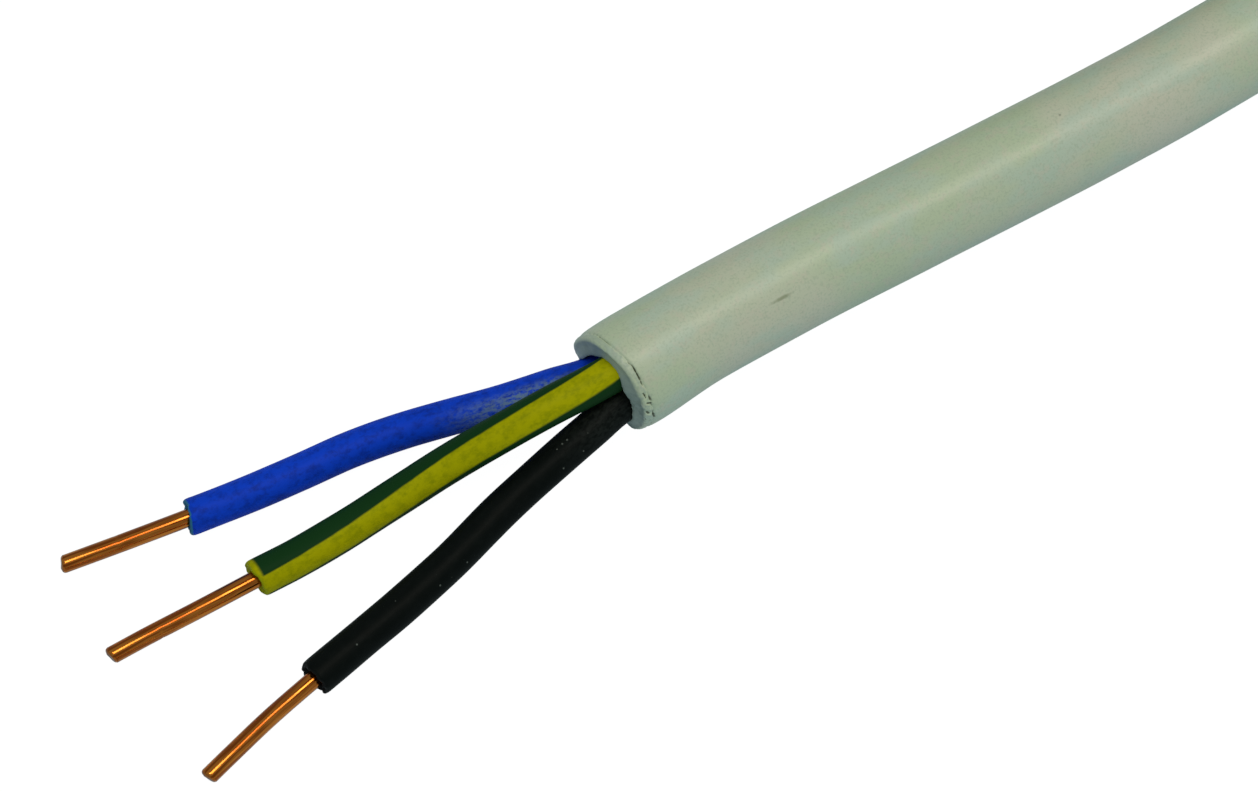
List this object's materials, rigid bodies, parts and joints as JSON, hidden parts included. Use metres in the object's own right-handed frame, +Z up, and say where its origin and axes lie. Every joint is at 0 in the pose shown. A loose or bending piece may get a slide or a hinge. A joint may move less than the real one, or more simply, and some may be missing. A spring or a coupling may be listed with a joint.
{
  "type": "three-core sheathed installation cable",
  "caption": "Round sheathed electrical cable wound in a flat coil held by ties, with one end stripped to its insulated cores and bare copper wires.",
  "frame": {"origin": "on the floor, at the middle of the whole part's box", "axes": "+Z up, the coil's axis is parallel to +Z, and the stripped end lies towards -Y of the coil"},
  "size_m": [0.1944, 0.2814, 0.0342],
  "materials": {
    "sheath": "matt satin PVC",
    "blue_insulation": "matt PVC",
    "green_yellow_insulation": "matt PVC with a green stripe",
    "black_insulation": "satin PVC",
    "copper": "bare drawn copper wire",
    "tie": "moulded nylon"
  },
  "bodies": {
    "root": {"coil": "sheath", "sheath": "sheath", "blue_insulation": "blue_insulation", "green_yellow_insulation": "green_yellow_insulation", "black_insulation": "black_insulation", "blue_conductor": "copper", "green_yellow_conductor": "copper", "black_conductor": "copper", "cable_tie_1": "tie", "cable_tie_2": "tie", "cable_tie_3": "tie"}
  },
  "joints": []
}
